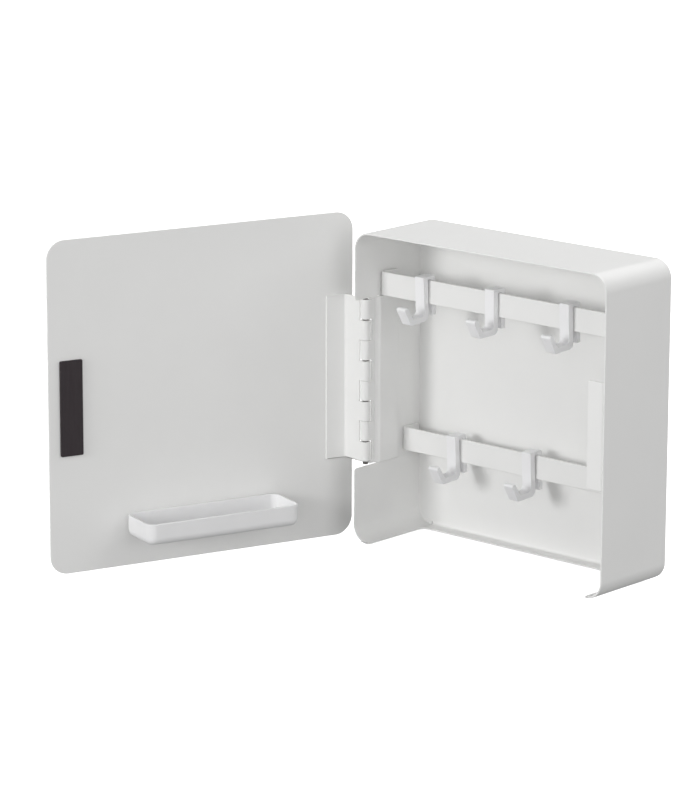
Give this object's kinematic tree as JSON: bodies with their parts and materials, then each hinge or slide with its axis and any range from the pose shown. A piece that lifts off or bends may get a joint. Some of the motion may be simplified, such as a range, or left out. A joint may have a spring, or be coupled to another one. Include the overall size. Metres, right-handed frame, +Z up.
{
  "type": "key cabinet",
  "caption": "Shallow wall key cabinet of white bent steel sheet with a hinged door, flat rails with sliding key hooks, and a small tray inside the door.",
  "frame": {"origin": "centre of the rear mounting plane, on the face of the middle magnet sheet", "axes": "+X to the right seen from the front, +Y backwards into the wall, +Z up; the cabinet faces -Y"},
  "size_m": [0.2887, 0.245, 0.2097],
  "materials": {
    "powder_coat": "fine matte powder coat, white",
    "pin_steel": "dark plain steel",
    "magnet_sheet": "dark brown flexible magnet, satin",
    "tray_plastic": "white moulded plastic, satin",
    "foam_tape": "matte foam",
    "hook_plastic": "white moulded plastic, satin"
  },
  "bodies": {
    "case": {"case_shell": "powder_coat", "back_panel": "powder_coat", "upper_rail": "powder_coat", "lower_rail": "powder_coat", "catch_plate": "powder_coat", "case_hinge_leaf": "powder_coat", "hinge_pin": "pin_steel", "wall_magnet_upper": "magnet_sheet", "wall_magnet_middle": "magnet_sheet", "wall_magnet_lower": "magnet_sheet"},
    "door": {"door_panel": "powder_coat", "door_hinge_leaf": "powder_coat", "door_magnet": "magnet_sheet", "tray": "tray_plastic", "tray_tape": "foam_tape"},
    "hook_upper_left": {"hook_upper_left": "hook_plastic"},
    "hook_upper_middle": {"hook_upper_middle": "hook_plastic"},
    "hook_upper_right": {"hook_upper_right": "hook_plastic"},
    "hook_lower_left": {"hook_lower_left": "hook_plastic"},
    "hook_lower_right": {"hook_lower_right": "hook_plastic"}
  },
  "joints": [
    {"name": "door_hinge", "type": "hinge", "parent": "case", "child": "door", "pos_m": [-0.103, -0.0498, 0], "axis": [0, 0, -1], "range_deg": [-109, 71]},
    {"name": "hook_upper_left_slide", "type": "slide", "parent": "case", "child": "hook_upper_left", "axis": [1, 0, 0], "range_m": [-0.0299, 0.0241]},
    {"name": "hook_upper_middle_slide", "type": "slide", "parent": "case", "child": "hook_upper_middle", "axis": [1, 0, 0], "range_m": [-0.0241, 0.0255]},
    {"name": "hook_upper_right_slide", "type": "slide", "parent": "case", "child": "hook_upper_right", "axis": [1, 0, 0], "range_m": [-0.0255, 0.0371]},
    {"name": "hook_lower_left_slide", "type": "slide", "parent": "case", "child": "hook_lower_left", "axis": [1, 0, 0], "range_m": [-0.0382, 0.0267]},
    {"name": "hook_lower_right_slide", "type": "slide", "parent": "case", "child": "hook_lower_right", "axis": [1, 0, 0], "range_m": [-0.0267, 0.0827]}
  ]
}
